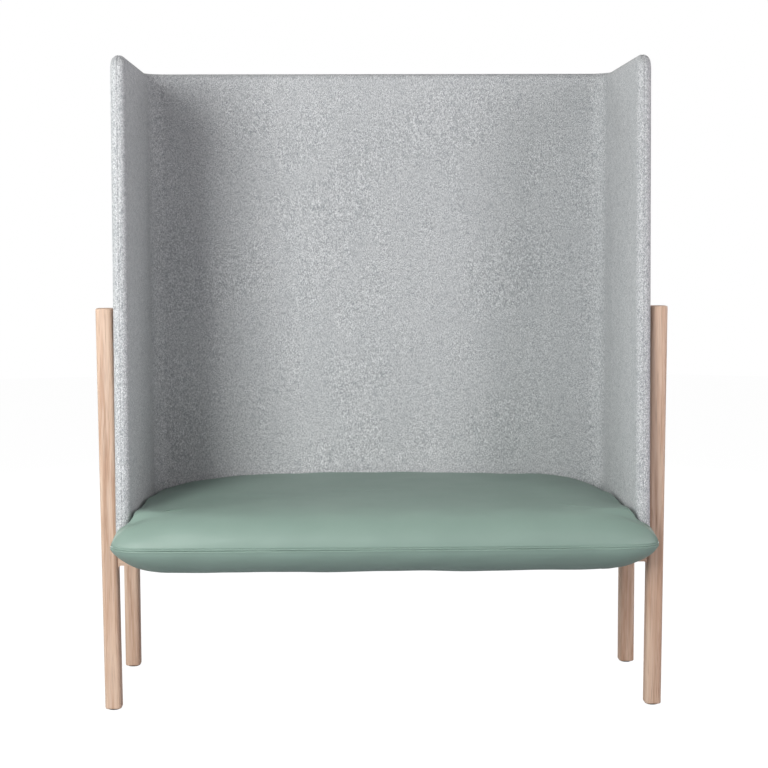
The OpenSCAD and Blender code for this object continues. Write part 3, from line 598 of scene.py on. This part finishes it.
def seat_crown(finish):
    """The seat's upper leather over its foam, closed underneath where it rests on the board.

    Its columns run from the seam up the rounding and on to the middle of the dome. On them lie the seam's
    ridge, the groove of its stitches, tucks and slow waves, as heights along the surface's normal.
    """
    edge = mirrored(evenly(seat_half_outline(), CROWN_COLUMNS // 2 + 1))[:-1]
    edge = np.roll(edge, -(CROWN_COLUMNS // 4), axis=0)
    near = np.concatenate([SEAM_ROWS, SEAM_ROWS[-1] + ROW_STEP * np.arange(1, NEAR_ROWS + 1)])
    end = 1.2 * (np.linalg.norm(SEAT_MIDDLE - edge, axis=1) + 60.0)
    far = near[-1] + (end - near[-1]) * (np.linspace(0, 1, FAR_ROWS + 1)[1:, None] ** 1.2)
    grid = crown_columns(edge, np.concatenate([near[:, None] * np.ones(CROWN_COLUMNS), far]))
    held = 1 - np.clip((grid[..., 2] - SEAM_Z - 14.0) / 30.0, 0, 1)
    held[-1] = 1
    grid = eased(grid, held, 2)
    grid = eased(grid, np.maximum(held, ramp(grid[..., 1], -235.0, -175.0)), 12)
    x, y, height = grid[..., 0], grid[..., 1], grid[..., 2] - SEAM_Z
    seam = bell(height, 2.3, 1.25) - STITCH_GROOVE * bell(height, STITCH_UP, 0.75)
    seam = seam - SEAM_GROOVE * bell(height, 0.0, 0.7)
    seam[len(SEAM_ROWS):] = 0
    calm = np.clip(np.arange(len(grid))[::-1] / 9.0, 0, 1)[:, None] * np.clip(height / 25.0, 0, 1)
    waves = (0.9 * swell(3, 9, 340.0, x, y) + 0.28 * swell(5, 12, 90.0, x * 0.5, y, height)) * calm
    grid = along_normals(grid, seam + waves + tip_tucks(grid, 0.8, 0.4), True)
    grid[-1] = grid[-1].mean(axis=0)
    under = SEAT_MIDDLE + (edge - SEAT_MIDDLE) * np.array([0.0, 0.5, 0.9, 0.985])[:, None, None]
    under = np.append(under, np.full((*under.shape[:2], 1), SEAM_Z + 0.05), axis=-1)
    whole = [(np.concatenate([under, grid]), True)]
    return piece_from("seat_crown_leather", whole, finish, (0, 0, 0.42))


# The seat's lower leather

def fullness(edge, front, tip, side):
    """The power of a rounding's section: one along the nose, one at the tips and one beside the wings."""
    to_tip = ramp(np.abs(edge[:, 0]), NOSE_HALF - 3.2 * NOSE_CORNER[0], NOSE_HALF - 0.2 * NOSE_CORNER[0])
    to_side = np.clip((edge[:, 1] - FLANK_Y) / (NOTCH_Y - FLANK_Y), 0, 1)
    return np.where(edge[:, 1] > FLANK_Y, tip + (side - tip) * to_side, front + (tip - front) * to_tip)


def lip_rounding(edge, ends, turns):
    """Rows of the lower leather's rounded edge, from the seam down and in to its ends.

    A row is at the share 1 - cos(a)^k of the way from the edge to the ends, and sin(a)^k of the drop
    below the seam. The first rows are at the seam's heights, and the rest at even turns of a.
    """
    k = 2 / fullness(edge, *LIP_POWERS)
    low = np.arcsin((np.array(SEAM_ROWS)[:, None] / LIP_DROP) ** (1 / k))
    a = np.concatenate([low, low[-1] + (np.pi / 2 - low[-1]) * turns[:, None]])
    flat = edge + (ends - edge) * (1 - np.cos(a).clip(0) ** k)[..., None]
    drop = LIP_DROP * np.sin(a) ** k
    z = SEAM_Z - drop + seam_wander(edge[:, 0], edge[:, 1]) * np.exp(-drop / 22.0)
    return np.concatenate([flat, z[..., None]], axis=-1)


def lip_rows():
    """The lip's rows, from the seam round and under to the front rail, up it, and a hem to the back.

    Past the rounding the rows go straight back to the rail, and up it they follow the skirt's own section.
    """
    half = seat_half_outline()
    half = np.concatenate([half[half[:, 1] <= LIP_BACK_Y - NUDGE], [[SEAT_HALF, LIP_BACK_Y]]])
    edge = mirrored(evenly(half, LIP_COLUMNS))
    ends = rounding_ends(edge, LIP_NOSE_IN, LIP_NOTCH_IN, LIP_SIDE_IN, SKIRT_IN, SKIRT_IN)
    lip = lip_rounding(edge, ends, np.linspace(0, 1, LIP_TURNS + 1)[1:])
    lip[..., 1] = np.minimum(lip[..., 1], LIP_BACK_Y)
    low = lip[-1]
    back = np.repeat(low[None], 4, axis=0)
    back[..., 1] += (LIP_BACK_Y - low[:, 1]) * np.linspace(0, 1, 5)[1:, None]
    up = np.repeat(low[None], 6, axis=0)
    z = np.linspace(SEAM_Z - LIP_DROP, UNDER_Z, 7)[1:, None]
    k = 2 / LIP_POWERS[2]
    turned = np.arcsin(((SEAM_Z - z) / LIP_DROP) ** (1 / k))
    half_width = SEAT_HALF - LIP_SIDE_IN * (1 - np.cos(turned) ** k)
    up[..., 0] *= half_width / abs(low[0, 0])
    up[..., 1], up[..., 2] = LIP_BACK_Y, z
    hem = up[-1].copy()
    hem[:, 1] += np.clip(abs(hem[0, 0]) - np.abs(hem[:, 0]), 0, TURN_UNDER)
    return np.concatenate([lip, back, up, [(up[-1] + hem) / 2, hem]])


def skirt_rows():
    """The skirt's rows, round the sides and the back: from the seam down and in, and a hem turned under."""
    half = seat_half_outline()
    half = np.concatenate([[[SEAT_HALF, LIP_BACK_Y]], half[half[:, 1] > LIP_BACK_Y + NUDGE]])
    edge = mirrored(evenly(half, SKIRT_COLUMNS)[::-1])[::-1]
    ends = rounding_ends(edge, LIP_NOSE_IN, LIP_NOTCH_IN, SKIRT_IN, SKIRT_IN, SKIRT_IN)
    skirt = lip_rounding(edge, ends, np.array([]))
    skirt[..., 1] = np.maximum(skirt[..., 1], LIP_BACK_Y)
    hem = skirt[-1].copy()
    width = np.clip(hem[:, 1] - LIP_BACK_Y, 0, TURN_UNDER)
    hem[:, 0] = np.clip(hem[:, 0], width - SEAT_HALF, SEAT_HALF - width)
    hem[:, 1] = np.clip(hem[:, 1], LIP_BACK_Y, SEAT_BACK_Y - TURN_UNDER)
    return np.concatenate([skirt, [(skirt[-1] + hem) / 2, hem]])


def seat_lip(finish):
    """The seat's lower leather: a lip under the nose and a skirt round the rest. The hems meet in mitres.

    On the lip lie the seam's ridge, tucks and slow waves, as heights along the surface's normal.
    """
    lip = lip_rows()
    x, y, drop = lip[..., 0], lip[..., 1], SEAM_Z - lip[..., 2]
    seam = 0.9 * bell(drop, 2.6, 1.5) - SEAM_GROOVE * bell(drop, 0.0, 0.7)
    waves = 0.7 * swell(11, 9, 260.0, x, y, drop) + 0.25 * swell(12, 12, 80.0, x * 0.5, drop)
    relief = seam + waves * np.clip(drop / 18.0, 0, 1) * np.clip((LIP_BACK_Y - y) / 20.0, 0, 1)
    relief[len(SEAM_ROWS) + LIP_TURNS:] = 0
    lip = right_tip(along_normals(lip, -(relief + tip_tucks(lip, 0.9, 1.9)), False))
    both = [(lip, False), (skirt_rows(), False)]
    return piece_from("seat_lip_leather", both, finish, (0, 0, 0.40), LEATHER)


def seam_stitches(finish):
    """The row of stitches above the seam, along the nose and both flares: small tapered rods of thread.

    A rod's six-sided rings follow the seam, each as wide and sunk as deep as its share of the thickness.
    """
    half = seat_half_outline()
    line = mirrored(half[half[:, 1] <= NOTCH_Y - NOTCH_R])
    count = int(np.linalg.norm(np.diff(line, axis=0), axis=1).sum() / STITCH_PITCH)
    heights = STITCH_UP + np.array([-0.3, 0.0, 0.3])
    rows = crown_columns(evenly(line, count), heights[:, None] * np.ones(count))
    along, up = np.gradient(rows[1], axis=0), rows[2] - rows[0]
    along /= np.linalg.norm(along, axis=1, keepdims=True)
    up /= np.linalg.norm(up, axis=1, keepdims=True)
    out = np.cross(along, up)
    centre = rows[1] - out * STITCH_SUNK
    at = np.array([-0.5, -0.44, -0.2, 0.2, 0.44, 0.5])[:, None] * STITCH_LENGTH
    wide = np.array([0.02, 0.62, 1.0, 1.0, 0.62, 0.02])[:, None] * STITCH_THICK
    sunk = np.array([-0.5, -0.22, 0.0, 0.0, -0.22, -0.5])[:, None] * STITCH_THICK
    a = np.radians(np.arange(0, 360, 60))
    rings, sides = len(at), len(a)
    ways = (centre, 1.0), (along, at), (out, np.sin(a) * wide + sunk), (up, np.cos(a) * wide)
    grid = sum(
        way[:, None, None] * np.broadcast_to(share, (rings, sides))[..., None] for way, share in ways)
    each = rings * sides
    first = (np.arange(count) * each)[:, None, None]
    tube = (grid_faces(rings, sides, 0, True) + first).reshape(-1, 4)
    caps = np.array([np.arange(sides)[::-1], np.arange(each - sides, each)])
    caps = (caps + first).reshape(-1, sides)
    piece = mesh_piece("seam_stitches", grid.reshape(-1, 3), tube.tolist() + caps.tolist(), finish)
    face_outwards(piece.data)
    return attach(piece, "root")


# The shell's felt

def wall_point(s, z, out):
    """A point of the shell: s along the wall's middle line from the middle of the back, out beyond it.

    The line runs straight, turns a quarter circle, and runs straight again along the wing.
    """
    half_back, bend = MID_X - MID_R, MID_R * np.pi / 2
    side, far = np.sign(s), np.abs(s)
    turn = np.clip((far - half_back) / MID_R, 0, np.pi / 2)
    past = np.clip(far - half_back - bend, 0, None)
    x = side * (np.minimum(far, half_back) + (MID_R + out) * np.sin(turn))
    y = MID_Y - MID_R + (MID_R + out) * np.cos(turn) - past
    return np.stack([x, y, z + 0 * x], axis=-1)


def face_edge():
    """The front end of the felt's face on a wing, from its foot up: its run along the wall, height, tilt.

    It follows the wing's raked front edge and rounded corner, a wall's half thickness inside them.
    """
    corner_z, r = SHELL_TOP - WING_CORNER_R, WING_CORNER_R - WALL / 2
    corner_y = WING_FRONT_Y + (corner_z - SHELL_FOOT) * math.tan(RAKE) + WING_CORNER_R / math.cos(RAKE)
    a = np.linspace(RAKE, np.pi / 2, 13)[1:]
    corner_foot = corner_z + r * math.sin(RAKE)
    low = np.linspace(SHELL_FOOT, corner_foot, 150)
    y = np.concatenate([
        corner_y - r * math.cos(RAKE) + (low - corner_foot) * math.tan(RAKE), corner_y - r * np.cos(a)])
    along = MID_X - MID_R + MID_R * np.pi / 2 + MID_Y - MID_R - y
    z = np.concatenate([low, corner_z + r * np.sin(a)])
    return along, z, np.concatenate([np.full(len(low), RAKE), a])


def felt_side(out_side):
    """Grids of one side of the shell's felt, from the seam along the rim's middle to the bottom hem.

    The face is a grid whose rows are level, with slow waves that die out at its ends. The rim is a quarter
    of a round bead along those ends and the top: out = T/2 sin(a), and T/2 cos(a) beyond the face's edge.
    """
    half = WALL / 2
    edge_s, edge_z, tilt = face_edge()
    wing = np.linspace(0.45, 1, 80)[1:]
    share = np.concatenate([-wing[::-1], np.linspace(-0.45, 0.45, 98), wing])
    s = edge_s[:, None] * share
    z = edge_z[:, None] + 0 * s
    soft = np.clip(np.minimum(edge_s[:, None] - np.abs(s), edge_z[-1] - z) / 60.0, 0, 1) ** 0.7
    seed = 21 if out_side > 0 else 31
    waves = (0.55 * swell(seed, 10, 420.0, s, z) + 0.22 * swell(seed + 1, 14, 120.0, s, z * 0.6)) * soft
    face = wall_point(s, z, out_side * (half + waves))

    def around(left, top, right):
        """Values up the left end, along the top and down the right end."""
        return np.concatenate([left, top + np.zeros(len(share) - 2), right[::-1]])

    around_s = around(-edge_s, edge_s[-1] * share[1:-1], edge_s)
    around_z = around(edge_z, edge_z[-1], edge_z)
    ahead, above = around(-np.cos(tilt), 0.0, np.cos(tilt)), around(np.sin(tilt), 1.0, np.sin(tilt))
    turn = np.array([0.0, 1.5, 3.2, 5.2, 8.0, 12.5, 20.0, 30.0, 42.0, 55.0, 68.0, 80.0, 90.0])[:, None]
    a = np.radians(turn)
    beyond = half * np.cos(a) - FELT_GROOVE * bell(turn, 0.0, 4.6)
    rim = wall_point(around_s + ahead * beyond, around_z + above * beyond, out_side * half * np.sin(a))
    rim[..., 2] = np.maximum(rim[..., 2], SHELL_FOOT)

    hem = wall_point(s[0], SHELL_FOOT, out_side * half * np.array([1.0, 0.5, 0.02])[:, None])
    grids = [face, rim, hem]
    for end in (0, -1):
        column = rim[:, end]
        centre = wall_point(around_s[end], SHELL_FOOT, 0.0)
        grids.append(np.stack([column, (column + centre) / 2, centre + 0 * column]))
    return [(grid, False) for grid in grids]


def dust_cover(finish):
    """The black cloth under the seat: a thin sheet that sags a little between the bearer and the hems.

    The sag is sin^2(pi u) sin^2(pi v), where u and v are shares of the way out from the bearer and back.
    """
    half_w = SEAT_HALF - TURN_UNDER - DUST_GAP
    front, back = LIP_BACK_Y + TURN_UNDER + DUST_GAP, SEAT_BACK_Y - TURN_UNDER - DUST_GAP
    x, y = np.meshgrid(np.linspace(-half_w, half_w, 121), np.linspace(front, back, 49))
    u, v = np.abs(x) / half_w, (y - front) / (back - front)
    sag = DUST_SAG * np.sin(np.pi * u) ** 2 * np.sin(np.pi * v) ** 2 * (v < DUST_SAG_SHARE)
    top = np.stack([x, y, UNDER_Z + DUST_UP - sag], axis=-1)
    piece = piece_from("dust_cloth_sheet", [(top, False)], finish, (0, 0, 0.5), DUST_CLOTH)
    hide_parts("seat_dust_cover")
    return piece


# Dressing the chair

crown = seat_crown(sage_leather("sage_leather_crown", 1.0))
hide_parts("seat_top_cover", "seat_foam")

# The lip under the nose is a copy 0.96 as bright as the crown's: painted shade
lip = seat_lip(sage_leather("sage_leather_lip_painted_shade", 0.96))
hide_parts("seat_bottom_cover", "seat_lip_foam")

seam_stitches(sage_thread())

# The inner felt faces away from a point far behind the chair, the outer one from one between the wings
felt = melange_felt()
inner = piece_from("shell_inner_felt", felt_side(-1), felt, (0, 5, 0.9), FELT)
outer = piece_from("shell_outer_felt", felt_side(1), felt, (0, 0, 0.9), FELT)
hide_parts("inner_felt_cover", "back_foam", "left_wing_foam", "right_wing_foam")
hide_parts("outer_felt_cover")

dust_cover(black_spunbond())

# Each finish and the drawn pieces that have it
for finish, names in (
        (oak("oak_upright", "z"), (
            "front_left_post", "front_right_post", "rear_left_post", "rear_right_post", "bolt_plugs")),
        (oak("oak_crosswise", "x"), ("front_cross_rail", "rear_cross_rail", "cross_rail_dowels")),
        (oak("oak_lengthwise", "y"), (
            "left_side_rail", "right_side_rail", "centre_bearer", "side_rail_dowels")),
        (birch_plywood(), ("seat_board", "shell_core")),
        (zinc_steel(), (
            "cross_rail_bolts", "barrel_nuts", "bearer_screws", "seat_bolts", "seat_t_nuts", "shell_bolts",
            "shell_sleeves", "shell_t_nuts")),
        (glide_nylon(), ("post_glides",))):
    for name in names:
        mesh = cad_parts[name].data
        mesh.materials.clear()
        mesh.materials.append(finish)


# Floor, lights and camera

# The point that the lamps face, and the tints of those at the left and at the right
LAMPS_AIM, COOL, WARM = (0.0, 0.0, 0.85), (0.985, 1.0, 0.985), (1.0, 0.965, 0.985)
# The camera's film in millimetres, and its focal length and film in pixels
FILM, FOCAL_PIXELS, PICTURE_WIDTH = 36.0, 1700.0, 768.0

def white_where_seen(name, shade, returned, seen, level):
    """A plain surface that shows as white to the camera and through glass, as far as the share seen goes.

    The rest of what the camera sees has the given shade, and what goes back to the chair the returned one.
    """
    plain = Finish(name, Roughness=0.9, Specular_IOR_Level=0.0)
    camera_ray = plain.ray("Camera")
    plain.wear(Base_Color=plain.mix(camera_ray, returned, shade))
    glow = plain.node("ShaderNodeEmission", {}, {"Color": (1.0, 1.0, 1.0), "Strength": level})
    lit = Socket(plain, plain.shader.outputs[0])
    factor = (camera_ray + plain.ray("Transmission")) * seen
    plain.show(plain.node("ShaderNodeMixShader", {}, {0: factor, 1: lit, 2: glow}))
    return plain.material


def floor():
    """A wide round plain floor: a disc of 9 metres' radius."""
    rim = arc(0.0, 0.0, 9000.0, 9000.0, 0, 360, 97)[:-1]
    white = white_where_seen("floor_white", (0.8, 0.8, 0.8), (0.47, 0.485, 0.515), 0.88, 1.12)
    mesh_piece("floor", np.append(rim, 0 * rim[:, :1], axis=1), [list(range(len(rim)))], white)


def backdrop():
    """A world that is white to the camera, also through glass, and gives the chair no light."""
    bpy.context.scene.world = bpy.data.worlds.new("studio")
    sky = Nodes(bpy.context.scene.world)
    white = sky.node("ShaderNodeBackground", {}, {"Color": (1.0, 1.0, 1.0), "Strength": 1.0})
    seen = sky.node("ShaderNodeMixShader", {}, {0: sky.ray("Camera") + sky.ray("Transmission"), 2: white})
    sky.node("ShaderNodeOutputWorld", {}, {"Surface": seen})


def lamp(name, turn, rise, distance, width, height, power, colour=(1.0, 1.0, 1.0)):
    """A soft box that faces the chair's middle.

    It stands at an angle round from the front, a rise above the level, both in degrees, and a distance in
    metres. The camera doesn't see it.
    """
    data = bpy.data.lights.new(name, "AREA")
    data.shape, data.size, data.size_y = "RECTANGLE", width, height
    data.energy, data.color = power, colour
    made = bpy.data.objects.new(name, data)
    bpy.context.scene.collection.objects.link(made)
    a, e = math.radians(turn), math.radians(rise)
    back = Vector((math.sin(a) * math.cos(e), -math.cos(a) * math.cos(e), math.sin(e)))
    made.location = Vector(LAMPS_AIM) + back * distance
    made.rotation_mode = "QUATERNION"
    made.rotation_quaternion = (-back).to_track_quat("-Z", "Y")
    made.visible_camera = False


def camera(place, yaw, pitch, roll, lens):
    """The photograph's view: a long lens, a little left of the middle and looking slightly down."""
    forward = np.array([math.sin(yaw) * math.cos(pitch), math.cos(yaw) * math.cos(pitch), -math.sin(pitch)])
    right = np.array([math.cos(yaw), -math.sin(yaw), 0.0])
    up = np.cross(right, forward)
    right, up = math.cos(roll) * right + math.sin(roll) * up, math.cos(roll) * up - math.sin(roll) * right
    data = bpy.data.cameras.new("camera")
    data.sensor_width, data.lens = FILM, lens
    made = bpy.data.objects.new("camera", data)
    bpy.context.scene.collection.objects.link(made)
    turned = np.stack([right, up, -forward, place], axis=1).tolist()
    made.matrix_world = Matrix([*turned, [0, 0, 0, 1]])
    bpy.context.scene.camera = made


floor()
backdrop()
# Each lamp's turn, rise, distance, width, height and power
lamp("left_box", -33.0, 13.0, 3.4, 1.2, 1.9, 94.0, COOL)
lamp("left_rim", -78.0, 10.0, 3.4, 0.9, 1.8, 24.0, COOL)
lamp("right_box", 38.5, 11.0, 3.4, 0.7, 1.9, 30.0, WARM)
lamp("right_rim", 76.0, 10.0, 3.4, 0.9, 1.8, 24.0, WARM)
lamp("top_box", -6.0, 52.0, 3.0, 2.0, 0.8, 4.0)
lamp("over_box", 180.0, 70.0, 3.0, 1.8, 0.9, 8.0)
lamp("back_left_box", -142.0, 14.0, 3.6, 1.6, 1.9, 50.0, COOL)
lamp("back_right_box", 146.0, 14.0, 3.6, 1.4, 1.9, 34.0, WARM)
# The camera's place in metres, its yaw, pitch and roll in radians, and its lens in millimetres
camera((-0.0808, -3.8849, 1.0510), 0.02244, 0.08804, -0.003752, FILM * FOCAL_PIXELS / PICTURE_WIDTH)
bpy.context.scene.view_settings.view_transform = "Standard"
